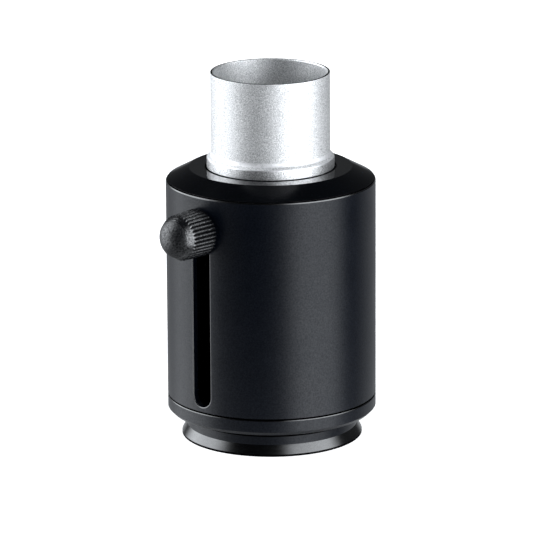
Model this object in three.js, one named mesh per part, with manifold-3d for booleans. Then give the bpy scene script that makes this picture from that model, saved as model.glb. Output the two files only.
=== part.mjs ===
// Adjustable collimator tube with a round dovetail foot.
// A silver tube slides in a black barrel and is locked by a knob whose stud runs in a slot.
// A two-element lens sits in the foot. Millimetres, +Z up, knob towards -Y.
// Z is measured from the foot's underside. "Reach" is a distance from the optical axis along -Y.
import * as THREE from "three";
import { mergeVertices } from "three/addons/utils/BufferGeometryUtils.js";
import Module from "manifold-3d";

const wasm = await Module();
wasm.setup();

// Facets around the turned parts, and around the small parts on the knob's axis.
const RING_SEGMENTS = 48;
const PIN_SEGMENTS = 32;
const WELD_TOLERANCE = 1e-4;

// Gaps between pieces.
const SLIDE_CLEARANCE = 0.05;
const SCREWED_GAP = 0.05;

// Dovetail foot. Its cone rises at the dovetail angle from the rim to the neck.
const DOVETAIL_ANGLE = THREE.MathUtils.degToRad(60);
const FOOT_RIM_RADIUS = 24.25;
const FOOT_RIM_HEIGHT = 0.6;
const FOOT_CONE_TOP = 2.92;
const NECK_RADIUS = FOOT_RIM_RADIUS - (FOOT_CONE_TOP - FOOT_RIM_HEIGHT) / Math.tan(DOVETAIL_ANGLE);
const FOOT_SPIGOT_RADIUS = 20.9;
const FOOT_SPIGOT_TOP = 9.2;
const FOOT_BORE_RADIUS = 19.2;
const FOOT_LIP_RADIUS = 17.6;
const FOOT_LIP_HEIGHT = 1.2;

// Base ring.
const RING_UNDERSIDE = 6.86;
const RING_LOWER_CHAMFER = 1.0;
const RING_UPPER_CHAMFER = 0.35;
const RING_FLOOR_TOP = 9.5;

// Barrel.
const BARREL_RADIUS = 28.0;
const BARREL_BORE_RADIUS = 26.0;
const BARREL_BOTTOM = 11.3;
const BARREL_TOP = 70.3;
const BARREL_LOWER_CHAMFER = 0.2;
const BARREL_UPPER_CHAMFER = 0.25;
const BARREL_SPIGOT_RADIUS = 26.6;
const BARREL_SPIGOT_BOTTOM = 9.6;

// Slot and clamp screw.
const SLOT_HALF_WIDTH = 3.0;
const SLOT_LOWER_CENTRE = 15.9;
const SCREW_HEIGHT = 61.0;

// Top cap.
const CAP_BORE_RADIUS = 17.35;
const CAP_FACE_RADIUS = 21.8;
const CAP_FACE_TOP = 73.65;
const CAP_EDGE_RADIUS = 27.85;
const CAP_EDGE_HEIGHT = 0.15;
const CAP_SPIGOT_BOTTOM = 67.0;
const CAP_POCKET_RADIUS = 18.65;
const CAP_POCKET_TOP = 72.5;
const BUSH_BOTTOM = 67.5;
const BUSH_LIP_HEIGHT = 0.16;

// Silver tube.
const NOSE_RADIUS = 15.875;
const NOSE_BORE_RADIUS = 15.07;
const NOSE_TOP = 99.4;
const NOSE_OUTER_CHAMFER = 0.2;
const NOSE_INNER_CHAMFER = 0.4;
const COLLAR_RADIUS = 17.03;
const COLLAR_TOP = 76.3;
const TUBE_SPIGOT_RADIUS = 15.9;
const TUBE_BOTTOM = 54.4;

// Carriage inside the barrel.
const CARRIAGE_RADIUS = 25.7;
const CARRIAGE_BOTTOM = 55.0;
const CARRIAGE_TOP = 66.7;
const BAND_GROOVE_RADIUS = 25.0;
const BAND_GROOVE_HEIGHT = 1.5;
const LOWER_GROOVE_BOTTOM = 55.45;
const UPPER_GROOVE_BOTTOM = 64.8;
const BAND_SPLIT_WIDTH = 1.0;
const LOCK_RING_RADIUS = 20.0;
const LOCK_RING_TOP = 56.2;
const BAFFLE_BOTTOM = 56.0;
const BAFFLE_TOP = 58.0;
const BAFFLE_APERTURE_RADIUS = 12.5;
const BAFFLE_EDGE_THICKNESS = 0.3;
const BAFFLE_SLOPE_RADIUS = 13.2;

// Lens group in the foot.
const CELL_RADIUS = 19.1;
const CELL_BOTTOM = 1.3;
const CELL_TOP = 9.0;
const CELL_LIP_TOP = 2.3;
const CELL_LIP_RADIUS = 14.2;
const LENS_RADIUS = 15.0;
const LENS_ARC_STEPS = 5;
const LENS_GAP = 0.05;
const CROWN_EDGE_BOTTOM = 3.12;
const CROWN_EDGE_THICKNESS = 1.2;
const CROWN_LOWER_CURVE = 80.0;
const CEMENTED_CURVE = 60.0;
const FLINT_CENTRE_THICKNESS = 1.5;
const FLINT_UPPER_CURVE = 300.0;
const CUSHION_RADIUS = 14.62;
const CUSHION_THICKNESS_RADIUS = 0.35;
const CUSHION_LIFT = 0.02;
const RETAINER_BORE_RADIUS = 13.4;
const RETAINER_TOP = 8.95;

// Spanner slots, the same on the retaining ring, the cell and the lock ring.
const SPANNER_SLOT_WIDTH = 1.4;
const SPANNER_SLOT_DEPTH = 0.7;

// Threaded bush in the carriage.
const INSERT_INNER_REACH = 17.0;
const INSERT_SHOULDER_REACH = 24.8;
const INSERT_NOSE_REACH = 27.6;
const INSERT_BODY_RADIUS = 3.6;
const INSERT_NOSE_RADIUS = SLOT_HALF_WIDTH - SLIDE_CLEARANCE;

// Clamp stud.
const STUD_RADIUS = 2.0;
const STUD_TIP_REACH = 18.5;
const STUD_TIP_CHAMFER = 0.4;
const STUD_HEAD_RADIUS = 3.0;
const STUD_HEAD_START = 31.3;
const STUD_HEAD_END = 35.4;

// Clamp knob. Its knurl is widest at the barrel and narrows evenly towards the dome.
const KNOB_RADIUS = 6.11;
const KNOB_BACK_RADIUS = 6.45;
const RIDGE_DEPTH = 0.39;
const KNOB_BACK_REACH = 28.25;
const KNOB_BACK_CHAMFER = 0.25;
const KNURL_END_REACH = 35.45;
const KNOB_SHOULDER_REACH = 36.45;
const KNOB_DOME_RADIUS = 6.5;
const KNOB_DOME_STEPS = 7;
const KNURL_RIDGES = 34;
const RIDGE_HALF_SHARE = 0.22;
const DOME_CENTRE_REACH = KNOB_SHOULDER_REACH - Math.sqrt(KNOB_DOME_RADIUS ** 2 - KNOB_RADIUS ** 2);
const KNOB_TIP_REACH = DOME_CENTRE_REACH + KNOB_DOME_RADIUS;

// Saddle washer in the knob's back.
const WASHER_RADIUS = 4.5;
const WASHER_FLAT_REACH = 29.3;
const WASHER_POCKET_GAP = 0.08;
const SADDLE_RADIUS = 28.05;
const SADDLE_SEGMENTS = 96;

// The optical axis is set off so that the whole object's box is centred on the origin.
const AXIS_Y = (KNOB_TIP_REACH - BARREL_RADIUS) / 2;

// Materials, one new one for each mesh.

function surface(colour, roughness, metalness) {
  return new THREE.MeshStandardMaterial({ color: colour, roughness, metalness });
}

const blackAnodised = () => surface(0x24262b, 0.5, 0.6);
const silverBlasted = () => surface(0xc6c7c9, 0.45, 0.9);
const dullBlack = () => surface(0x101012, 0.9, 0.1);
const mouldedBlack = () => surface(0x1a1a1c, 0.6, 0.0);
const machinedSteel = () => surface(0x9a9da1, 0.35, 0.95);
const machinedBrass = () => surface(0xb9923f, 0.35, 0.95);
const blackAcetal = () => surface(0x18181a, 0.45, 0.0);
const glidePtfe = () => surface(0xf1f1ee, 0.6, 0.0);
const naturalNylon = () => surface(0xdcd6c4, 0.55, 0.0);
const softRubber = () => surface(0x161616, 0.85, 0.0);

function lensGlass(tint) {
  const glass = surface(tint, 0.05, 0.0);
  glass.transparent = true;
  glass.opacity = 0.35;
  return glass;
}

// Shape helpers.

// Revolves a profile of [radius, height] points about Z. The profile closes on itself
// unless it starts and ends on the axis.
function turned(profile, segments = RING_SEGMENTS) {
  const points = profile.map(([radius, height]) => new THREE.Vector2(radius, height));
  const endsOnAxis = profile[0][0] === 0 && profile[profile.length - 1][0] === 0;
  if (!endsOnAxis) {
    points.push(points[0].clone());
  }
  const geometry = new THREE.LatheGeometry(points, segments);
  geometry.rotateX(Math.PI / 2);
  return geometry;
}

// Revolves a profile of [radius, reach] points about the knob's axis, which runs along -Y.
function turnedAlongKnob(profile, segments = PIN_SEGMENTS) {
  const geometry = turned(profile, segments);
  geometry.rotateX(Math.PI / 2);
  return geometry;
}

// A round bar or bore along the knob's axis, between two reaches.
function barAlongKnob(radius, fromReach, toReach) {
  return turnedAlongKnob([[0, fromReach], [radius, fromReach], [radius, toReach], [0, toReach]]);
}

function solidOf(geometry) {
  const bare = geometry.clone();
  bare.deleteAttribute("normal");
  bare.deleteAttribute("uv");
  const welded = mergeVertices(bare, WELD_TOLERANCE);
  const corners = welded.index.array;
  const triangles = [];
  for (let i = 0; i < corners.length; i += 3) {
    const [a, b, c] = corners.slice(i, i + 3);
    if (a !== b && b !== c && c !== a) {
      triangles.push(a, b, c);
    }
  }
  const mesh = new wasm.Mesh({
    numProp: 3,
    vertProperties: welded.attributes.position.array,
    triVerts: Uint32Array.from(triangles),
  });
  return new wasm.Manifold(mesh);
}

function geometryOf(solid) {
  const mesh = solid.getMesh();
  const geometry = new THREE.BufferGeometry();
  geometry.setAttribute("position", new THREE.BufferAttribute(mesh.vertProperties, 3));
  geometry.setIndex(new THREE.BufferAttribute(mesh.triVerts, 1));
  geometry.computeVertexNormals();
  return geometry;
}

function cut(geometry, ...tools) {
  let solid = solidOf(geometry);
  for (const tool of tools) {
    solid = solid.subtract(solidOf(tool));
  }
  return geometryOf(solid);
}

function joined(first, second) {
  return geometryOf(solidOf(first).add(solidOf(second)));
}

// A bar across the optical axis that cuts two opposite spanner slots at the given height.
function spannerBar(height) {
  const bar = new THREE.BoxGeometry(2 * BARREL_RADIUS, SPANNER_SLOT_WIDTH, 2 * SPANNER_SLOT_DEPTH);
  bar.translate(0, 0, height);
  return bar;
}

// Depth of a spherical surface at a distance from its middle.
function sag(curve, radius) {
  return curve - Math.sqrt(curve ** 2 - radius ** 2);
}

// [radius, height] points over a spherical surface, from the middle to the edge, which lies
// above the middle when the direction is 1 and below it when the direction is -1.
function lensArc(curve, middleHeight, direction) {
  const points = [];
  for (let step = 0; step <= LENS_ARC_STEPS; step += 1) {
    const radius = (LENS_RADIUS * step) / LENS_ARC_STEPS;
    points.push([radius, middleHeight + direction * sag(curve, radius)]);
  }
  return points;
}

// Foot and base ring.

function dovetailFlangeShape() {
  return turned([
    [FOOT_LIP_RADIUS, 0],
    [FOOT_RIM_RADIUS, 0],
    [FOOT_RIM_RADIUS, FOOT_RIM_HEIGHT],
    [NECK_RADIUS, FOOT_CONE_TOP],
    [NECK_RADIUS, RING_UNDERSIDE],
    [FOOT_SPIGOT_RADIUS, RING_UNDERSIDE],
    [FOOT_SPIGOT_RADIUS, FOOT_SPIGOT_TOP],
    [FOOT_BORE_RADIUS, FOOT_SPIGOT_TOP],
    [FOOT_BORE_RADIUS, FOOT_LIP_HEIGHT],
    [FOOT_LIP_RADIUS, FOOT_LIP_HEIGHT],
  ]);
}

function baseRingShape() {
  const boreRadius = FOOT_SPIGOT_RADIUS + SCREWED_GAP;
  const pocketRadius = BARREL_SPIGOT_RADIUS + SCREWED_GAP;
  return turned([
    [boreRadius, RING_UNDERSIDE],
    [BARREL_RADIUS - RING_LOWER_CHAMFER, RING_UNDERSIDE],
    [BARREL_RADIUS, RING_UNDERSIDE + RING_LOWER_CHAMFER],
    [BARREL_RADIUS, BARREL_BOTTOM - RING_UPPER_CHAMFER],
    [BARREL_RADIUS - RING_UPPER_CHAMFER, BARREL_BOTTOM],
    [pocketRadius, BARREL_BOTTOM],
    [pocketRadius, RING_FLOOR_TOP],
    [boreRadius, RING_FLOOR_TOP],
  ]);
}

// Barrel and cap.

// A bar with round ends that cuts the slot through the barrel's wall.
function slotCutter() {
  const wallStart = BARREL_BORE_RADIUS / 2;
  const outline = new THREE.Shape();
  outline.absarc(0, SCREW_HEIGHT, SLOT_HALF_WIDTH, 0, Math.PI, false);
  outline.absarc(0, SLOT_LOWER_CENTRE, SLOT_HALF_WIDTH, Math.PI, 2 * Math.PI, false);
  const bar = new THREE.ExtrudeGeometry(outline, {
    depth: BARREL_RADIUS,
    bevelEnabled: false,
    curveSegments: PIN_SEGMENTS / 2,
  });
  bar.translate(0, 0, wallStart);
  bar.rotateX(Math.PI / 2);
  return bar;
}

function barrelShape() {
  const wall = turned([
    [BARREL_BORE_RADIUS, BARREL_SPIGOT_BOTTOM],
    [BARREL_SPIGOT_RADIUS, BARREL_SPIGOT_BOTTOM],
    [BARREL_SPIGOT_RADIUS, BARREL_BOTTOM],
    [BARREL_RADIUS - BARREL_LOWER_CHAMFER, BARREL_BOTTOM],
    [BARREL_RADIUS, BARREL_BOTTOM + BARREL_LOWER_CHAMFER],
    [BARREL_RADIUS, BARREL_TOP - BARREL_UPPER_CHAMFER],
    [BARREL_RADIUS - BARREL_UPPER_CHAMFER, BARREL_TOP],
    [BARREL_BORE_RADIUS, BARREL_TOP],
  ]);
  return cut(wall, slotCutter());
}

function topCapShape() {
  const spigotRadius = BARREL_BORE_RADIUS - SCREWED_GAP;
  return turned([
    [CAP_POCKET_RADIUS, CAP_SPIGOT_BOTTOM],
    [spigotRadius, CAP_SPIGOT_BOTTOM],
    [spigotRadius, BARREL_TOP],
    [CAP_EDGE_RADIUS, BARREL_TOP],
    [CAP_EDGE_RADIUS, BARREL_TOP + CAP_EDGE_HEIGHT],
    [CAP_FACE_RADIUS, CAP_FACE_TOP],
    [CAP_BORE_RADIUS, CAP_FACE_TOP],
    [CAP_BORE_RADIUS, CAP_POCKET_TOP],
    [CAP_POCKET_RADIUS, CAP_POCKET_TOP],
  ]);
}

// A bush in the cap's pocket, with a thin lip that stands a little above the cap's face.
function guideBushShape() {
  const boreRadius = COLLAR_RADIUS + SLIDE_CLEARANCE;
  const outerRadius = CAP_POCKET_RADIUS - SCREWED_GAP;
  const lipRadius = CAP_BORE_RADIUS - SCREWED_GAP;
  const shoulder = CAP_POCKET_TOP - SCREWED_GAP;
  const lipTop = CAP_FACE_TOP + BUSH_LIP_HEIGHT;
  return turned([
    [boreRadius, BUSH_BOTTOM],
    [outerRadius, BUSH_BOTTOM],
    [outerRadius, shoulder],
    [lipRadius, shoulder],
    [lipRadius, lipTop],
    [boreRadius, lipTop],
  ]);
}

// Lens group.

const CROWN_BOTTOM = CROWN_EDGE_BOTTOM - sag(CROWN_LOWER_CURVE, LENS_RADIUS);
const CROWN_TOP = CROWN_EDGE_BOTTOM + CROWN_EDGE_THICKNESS + sag(CEMENTED_CURVE, LENS_RADIUS);
const FLINT_BOTTOM = CROWN_TOP + LENS_GAP;
const FLINT_TOP = FLINT_BOTTOM + FLINT_CENTRE_THICKNESS;

function lensCellShape() {
  const lensBoreRadius = LENS_RADIUS + SCREWED_GAP;
  const cell = turned([
    [CELL_LIP_RADIUS, CELL_BOTTOM],
    [CELL_RADIUS, CELL_BOTTOM],
    [CELL_RADIUS, CELL_TOP],
    [lensBoreRadius, CELL_TOP],
    [lensBoreRadius, CELL_LIP_TOP],
    [CELL_LIP_RADIUS, CELL_LIP_TOP],
  ]);
  return cut(cell, spannerBar(CELL_TOP));
}

function cushionRingShape() {
  const middleHeight = CELL_LIP_TOP + CUSHION_LIFT + CUSHION_THICKNESS_RADIUS;
  const ring = new THREE.TorusGeometry(CUSHION_RADIUS, CUSHION_THICKNESS_RADIUS, 8, RING_SEGMENTS);
  ring.translate(0, 0, middleHeight);
  return ring;
}

function crownLensShape() {
  const lower = lensArc(CROWN_LOWER_CURVE, CROWN_BOTTOM, 1);
  const upper = lensArc(CEMENTED_CURVE, CROWN_TOP, -1);
  return turned([...lower, ...upper.reverse()]);
}

function flintLensShape() {
  const lower = lensArc(CEMENTED_CURVE, FLINT_BOTTOM, -1);
  const upper = lensArc(FLINT_UPPER_CURVE, FLINT_TOP, -1);
  return turned([...lower, ...upper.reverse()]);
}

function retainingRingShape() {
  const bottom = FLINT_TOP - sag(FLINT_UPPER_CURVE, RETAINER_BORE_RADIUS) + LENS_GAP;
  const ring = turned([
    [RETAINER_BORE_RADIUS, bottom],
    [LENS_RADIUS, bottom],
    [LENS_RADIUS, RETAINER_TOP],
    [RETAINER_BORE_RADIUS, RETAINER_TOP],
  ]);
  return cut(ring, spannerBar(RETAINER_TOP));
}

// Silver tube and carriage.

function noseTubeShape() {
  return turned([
    [NOSE_BORE_RADIUS, TUBE_BOTTOM],
    [TUBE_SPIGOT_RADIUS, TUBE_BOTTOM],
    [TUBE_SPIGOT_RADIUS, CARRIAGE_TOP],
    [COLLAR_RADIUS, CARRIAGE_TOP],
    [COLLAR_RADIUS, COLLAR_TOP],
    [NOSE_RADIUS, COLLAR_TOP + COLLAR_RADIUS - NOSE_RADIUS],
    [NOSE_RADIUS, NOSE_TOP - NOSE_OUTER_CHAMFER],
    [NOSE_RADIUS - NOSE_OUTER_CHAMFER, NOSE_TOP],
    [NOSE_BORE_RADIUS + NOSE_INNER_CHAMFER, NOSE_TOP],
    [NOSE_BORE_RADIUS, NOSE_TOP - NOSE_INNER_CHAMFER],
  ]);
}

// The four profile points of a groove for a glide band.
function bandGroove(bottom) {
  return [
    [CARRIAGE_RADIUS, bottom],
    [BAND_GROOVE_RADIUS, bottom],
    [BAND_GROOVE_RADIUS, bottom + BAND_GROOVE_HEIGHT],
    [CARRIAGE_RADIUS, bottom + BAND_GROOVE_HEIGHT],
  ];
}

function slideCarriageShape() {
  const boreRadius = TUBE_SPIGOT_RADIUS + SCREWED_GAP;
  const pocketRadius = LOCK_RING_RADIUS + SCREWED_GAP;
  const pocketTop = LOCK_RING_TOP + SCREWED_GAP;
  const ring = turned([
    [pocketRadius, CARRIAGE_BOTTOM],
    [CARRIAGE_RADIUS, CARRIAGE_BOTTOM],
    ...bandGroove(LOWER_GROOVE_BOTTOM),
    ...bandGroove(UPPER_GROOVE_BOTTOM),
    [CARRIAGE_RADIUS, CARRIAGE_TOP],
    [boreRadius, CARRIAGE_TOP],
    [boreRadius, pocketTop],
    [pocketRadius, pocketTop],
  ]);
  const bodyBore = barAlongKnob(
    INSERT_BODY_RADIUS + SCREWED_GAP,
    NOSE_RADIUS / 2,
    INSERT_SHOULDER_REACH + SCREWED_GAP,
  );
  const noseBore = barAlongKnob(INSERT_NOSE_RADIUS + SCREWED_GAP, NOSE_RADIUS / 2, BARREL_RADIUS);
  bodyBore.translate(0, 0, SCREW_HEIGHT);
  noseBore.translate(0, 0, SCREW_HEIGHT);
  return cut(ring, bodyBore, noseBore);
}

function lockRingShape() {
  const boreRadius = TUBE_SPIGOT_RADIUS + SCREWED_GAP;
  const ring = turned([
    [boreRadius, TUBE_BOTTOM],
    [LOCK_RING_RADIUS, TUBE_BOTTOM],
    [LOCK_RING_RADIUS, LOCK_RING_TOP],
    [boreRadius, LOCK_RING_TOP],
  ]);
  return cut(ring, spannerBar(TUBE_BOTTOM));
}

// A split band that sits in a carriage groove and rubs on the barrel's bore.
function glideBandShape(grooveBottom) {
  const bottom = grooveBottom + SCREWED_GAP;
  const top = grooveBottom + BAND_GROOVE_HEIGHT - SCREWED_GAP;
  const outerRadius = BARREL_BORE_RADIUS - SLIDE_CLEARANCE;
  const innerRadius = BAND_GROOVE_RADIUS + SCREWED_GAP;
  const band = turned([
    [innerRadius, bottom],
    [outerRadius, bottom],
    [outerRadius, top],
    [innerRadius, top],
  ]);
  const split = new THREE.BoxGeometry(BAND_SPLIT_WIDTH, BARREL_RADIUS, 2 * BAND_GROOVE_HEIGHT);
  split.translate(0, BARREL_RADIUS, (bottom + top) / 2);
  return cut(band, split);
}

function tubeBaffleShape() {
  const outerRadius = NOSE_BORE_RADIUS - SCREWED_GAP;
  return turned([
    [BAFFLE_SLOPE_RADIUS, BAFFLE_BOTTOM],
    [outerRadius, BAFFLE_BOTTOM],
    [outerRadius, BAFFLE_TOP],
    [BAFFLE_APERTURE_RADIUS, BAFFLE_TOP],
    [BAFFLE_APERTURE_RADIUS, BAFFLE_TOP - BAFFLE_EDGE_THICKNESS],
  ]);
}

// Clamp parts, drawn about the knob's axis and lifted to its height when placed.

function studInsertShape() {
  const threadRadius = STUD_RADIUS + SLIDE_CLEARANCE;
  return turnedAlongKnob([
    [threadRadius, INSERT_INNER_REACH],
    [INSERT_BODY_RADIUS, INSERT_INNER_REACH],
    [INSERT_BODY_RADIUS, INSERT_SHOULDER_REACH],
    [INSERT_NOSE_RADIUS, INSERT_SHOULDER_REACH],
    [INSERT_NOSE_RADIUS, INSERT_NOSE_REACH],
    [threadRadius, INSERT_NOSE_REACH],
  ]);
}

function clampStudShape() {
  return turnedAlongKnob([
    [0, STUD_TIP_REACH],
    [STUD_RADIUS - STUD_TIP_CHAMFER, STUD_TIP_REACH],
    [STUD_RADIUS, STUD_TIP_REACH + STUD_TIP_CHAMFER],
    [STUD_RADIUS, STUD_HEAD_START],
    [STUD_HEAD_RADIUS, STUD_HEAD_START],
    [STUD_HEAD_RADIUS, STUD_HEAD_END],
    [0, STUD_HEAD_END],
  ]);
}

// A flat washer whose inner face is hollowed to sit on the barrel.
function clampWasherShape() {
  const boreRadius = STUD_RADIUS + WASHER_POCKET_GAP;
  const disc = turnedAlongKnob([
    [boreRadius, BARREL_BORE_RADIUS],
    [WASHER_RADIUS, BARREL_BORE_RADIUS],
    [WASHER_RADIUS, WASHER_FLAT_REACH],
    [boreRadius, WASHER_FLAT_REACH],
  ]);
  const saddle = new THREE.CylinderGeometry(
    SADDLE_RADIUS,
    SADDLE_RADIUS,
    4 * WASHER_RADIUS,
    SADDLE_SEGMENTS,
  );
  saddle.rotateX(Math.PI / 2);
  return cut(disc, saddle);
}

// Narrows an extruded geometry evenly along its depth, down to endScale times its width.
function narrow(geometry, depth, endScale) {
  const position = geometry.attributes.position;
  for (let i = 0; i < position.count; i += 1) {
    const scale = 1 + ((endScale - 1) * position.getZ(i)) / depth;
    position.setXY(i, position.getX(i) * scale, position.getY(i) * scale);
  }
}

// Ridges around the knob, along its length.
function knurlShape() {
  const pitch = (2 * Math.PI) / KNURL_RIDGES;
  const outline = [];
  const addCorner = (radius, angle) => {
    outline.push(new THREE.Vector2(radius * Math.cos(angle), radius * Math.sin(angle)));
  };
  for (let ridge = 0; ridge < KNURL_RIDGES; ridge += 1) {
    const middle = ridge * pitch;
    addCorner(KNOB_BACK_RADIUS - RIDGE_DEPTH, middle - pitch / 2);
    addCorner(KNOB_BACK_RADIUS, middle - RIDGE_HALF_SHARE * pitch);
    addCorner(KNOB_BACK_RADIUS, middle + RIDGE_HALF_SHARE * pitch);
  }
  const start = KNOB_BACK_REACH + KNOB_BACK_CHAMFER;
  const depth = KNURL_END_REACH - start;
  const knurl = new THREE.ExtrudeGeometry(new THREE.Shape(outline), {
    depth,
    bevelEnabled: false,
  });
  narrow(knurl, depth, KNOB_RADIUS / KNOB_BACK_RADIUS);
  knurl.translate(0, 0, start);
  knurl.rotateX(Math.PI / 2);
  return knurl;
}

function clampKnobShape() {
  const bodyRadius = KNOB_RADIUS - RIDGE_DEPTH + SCREWED_GAP;
  const rimAngle = Math.asin(KNOB_RADIUS / KNOB_DOME_RADIUS);
  const profile = [
    [0, KNOB_BACK_REACH],
    [bodyRadius - KNOB_BACK_CHAMFER, KNOB_BACK_REACH],
    [bodyRadius, KNOB_BACK_REACH + KNOB_BACK_CHAMFER],
    [bodyRadius, KNURL_END_REACH - KNOB_BACK_CHAMFER],
    [KNOB_RADIUS, KNURL_END_REACH],
  ];
  for (let step = 0; step <= KNOB_DOME_STEPS; step += 1) {
    const angle = rimAngle * (1 - step / KNOB_DOME_STEPS);
    const radius = step === KNOB_DOME_STEPS ? 0 : KNOB_DOME_RADIUS * Math.sin(angle);
    profile.push([radius, DOME_CENTRE_REACH + KNOB_DOME_RADIUS * Math.cos(angle)]);
  }
  const washerPocket = barAlongKnob(
    WASHER_RADIUS + WASHER_POCKET_GAP,
    BARREL_RADIUS,
    WASHER_FLAT_REACH + SCREWED_GAP,
  );
  const shaftBore = barAlongKnob(STUD_RADIUS + SCREWED_GAP, BARREL_RADIUS, STUD_HEAD_START);
  const headBore = barAlongKnob(
    STUD_HEAD_RADIUS + SCREWED_GAP,
    STUD_HEAD_START - SCREWED_GAP,
    STUD_HEAD_END + SCREWED_GAP,
  );
  const solid = joined(turnedAlongKnob(profile), knurlShape());
  return cut(solid, washerPocket, shaftBore, headBore);
}

// Assembly.

const collimator = new THREE.Group();
collimator.name = "collimator_tube";
collimator.position.set(0, AXIS_Y, 0);

function place(name, geometry, material, height = 0) {
  const mesh = new THREE.Mesh(geometry, material);
  mesh.name = name;
  mesh.position.set(0, 0, height);
  collimator.add(mesh);
}

place("dovetail_flange", dovetailFlangeShape(), blackAnodised());
place("base_ring", baseRingShape(), blackAnodised());
place("barrel", barrelShape(), blackAnodised());
place("top_cap", topCapShape(), blackAnodised());
place("cap_guide_bush", guideBushShape(), blackAcetal());
place("lens_cell", lensCellShape(), dullBlack());
place("lens_cushion_ring", cushionRingShape(), softRubber());
place("crown_lens", crownLensShape(), lensGlass(0xdfe9ea));
place("flint_lens", flintLensShape(), lensGlass(0xe6e4dc));
place("lens_retaining_ring", retainingRingShape(), dullBlack());
place("nose_tube", noseTubeShape(), silverBlasted());
place("tube_baffle", tubeBaffleShape(), dullBlack());
place("slide_carriage", slideCarriageShape(), blackAnodised());
place("carriage_lock_ring", lockRingShape(), machinedSteel());
place("glide_band_upper", glideBandShape(UPPER_GROOVE_BOTTOM), glidePtfe());
place("glide_band_lower", glideBandShape(LOWER_GROOVE_BOTTOM), glidePtfe());
place("stud_insert", studInsertShape(), machinedBrass(), SCREW_HEIGHT);
place("clamp_washer", clampWasherShape(), naturalNylon(), SCREW_HEIGHT);
place("clamp_knob", clampKnobShape(), mouldedBlack(), SCREW_HEIGHT);
place("clamp_stud", clampStudShape(), machinedSteel(), SCREW_HEIGHT);

export default collimator;
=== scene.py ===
"""Looks for the adjustable collimator tube: smooth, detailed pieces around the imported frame.

Lengths in the builders are millimetres in the row frame, and become metres when a mesh is made.
"Reach" is a distance from the optical axis towards the knob, along -Y. A pick function takes a
face's middle and normal, and returns the number of the face's material in its piece's list.
"""

import math

import bmesh
import bpy
from mathutils import Matrix, Vector


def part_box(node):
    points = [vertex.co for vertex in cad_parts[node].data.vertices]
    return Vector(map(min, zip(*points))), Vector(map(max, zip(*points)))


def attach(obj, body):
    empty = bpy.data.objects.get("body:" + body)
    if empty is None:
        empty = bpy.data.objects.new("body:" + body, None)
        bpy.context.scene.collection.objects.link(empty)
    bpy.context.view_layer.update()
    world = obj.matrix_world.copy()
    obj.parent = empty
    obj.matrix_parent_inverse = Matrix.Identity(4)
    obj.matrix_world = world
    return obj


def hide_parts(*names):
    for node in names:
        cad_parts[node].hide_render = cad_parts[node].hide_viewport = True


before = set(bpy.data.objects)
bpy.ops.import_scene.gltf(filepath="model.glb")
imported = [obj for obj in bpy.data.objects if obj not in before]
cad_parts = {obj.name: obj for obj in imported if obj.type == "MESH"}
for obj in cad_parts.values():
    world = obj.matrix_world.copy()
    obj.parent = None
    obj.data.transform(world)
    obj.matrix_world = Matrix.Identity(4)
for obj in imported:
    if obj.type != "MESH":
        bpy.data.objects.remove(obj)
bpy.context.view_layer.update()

MM = 0.001
SHARP_ANGLE = math.radians(32)
NORMAL_WEIGHT = 50

# Steps once round a turned piece.
TUBE_STEPS, CARRIAGE_STEPS, INNER_STEPS = 240, 192, 160
CUSHION_STEPS, LENS_STEPS = 120, 96
WASHER_STEPS, PIN_STEPS, STUD_STEPS = 96, 64, 48
RIDGE_STEPS = 12

# Fillets: steps along one, the share of a straight that it may take up, and how far from its
# ends the edge attribute falls back to 0, in millimetres and as a share of the straight.
FILLET_STEPS = 4
FILLET_SHARE = 0.45
GUARD, GUARD_SHARE = 0.02, 0.04

# Gaps between pieces, as in the CAD, and how far past an edge a face's middle counts as past it.
SCREWED_GAP = SLIDE_CLEARANCE = 0.05
EDGE_MARGIN = 0.02


def box_mm(node):
    low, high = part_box(node)
    return low / MM, high / MM


def radius_mm(node):
    low, high = box_mm(node)
    return (high.x - low.x) / 2


barrel_low, barrel_high = box_mm("barrel")
AXIS_Y = (barrel_low.y + barrel_high.y) / 2
stud_low, stud_high = box_mm("clamp_stud")
SCREW_Z = (stud_low.z + stud_high.z) / 2


def off_axis(point):
    """Distance of a point from the optical axis."""
    return math.hypot(point.x, point.y - AXIS_Y)


# ------------------------------
# Profiles


def corner(a, b, round_mm=0.0, tag=""):
    """One profile corner: radius, height or reach, fillet radius and a tag."""
    return {"r": a, "s": b, "round": round_mm, "tag": tag}


def rounded(corners, closed):
    """Replaces each corner that has a fillet by a short curve.

    Fillet points have edge 1, and a point with edge 0 right beside each end of the curve keeps
    that value off the faces next to it.
    """
    points = []
    count = len(corners)
    for i, here in enumerate(corners):
        before = corners[i - 1] if closed or i > 0 else None
        after = corners[(i + 1) % count] if closed or i < count - 1 else None
        point = Vector((here["r"], here["s"]))
        if here["round"] <= 0 or before is None or after is None:
            points.append({"r": point.x, "s": point.y, "edge": 0.0, "tag": here["tag"]})
            continue
        into = point - Vector((before["r"], before["s"]))
        out = Vector((after["r"], after["s"])) - point
        turn = into.angle(out)
        length = here["round"] * math.tan(turn / 2)
        length = min(length, FILLET_SHARE * into.length, FILLET_SHARE * out.length)
        start = point - into.normalized() * length
        end = point + out.normalized() * length
        curve = [(start - into.normalized() * min(GUARD, GUARD_SHARE * into.length), 0.0)]
        for k in range(FILLET_STEPS + 1):
            t = k / FILLET_STEPS
            curve.append((start * (1 - t) ** 2 + point * 2 * t * (1 - t) + end * t * t, 1.0))
        curve.append((end + out.normalized() * min(GUARD, GUARD_SHARE * out.length), 0.0))
        points += [{"r": p.x, "s": p.y, "edge": e, "tag": here["tag"]} for p, e in curve]
    return points


# ------------------------------
# Meshes


def tube_place(x, depth, s):
    """A point about the optical axis: x, depth towards the knob, height."""
    return Vector((x, AXIS_Y - depth, s)) * MM


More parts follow.
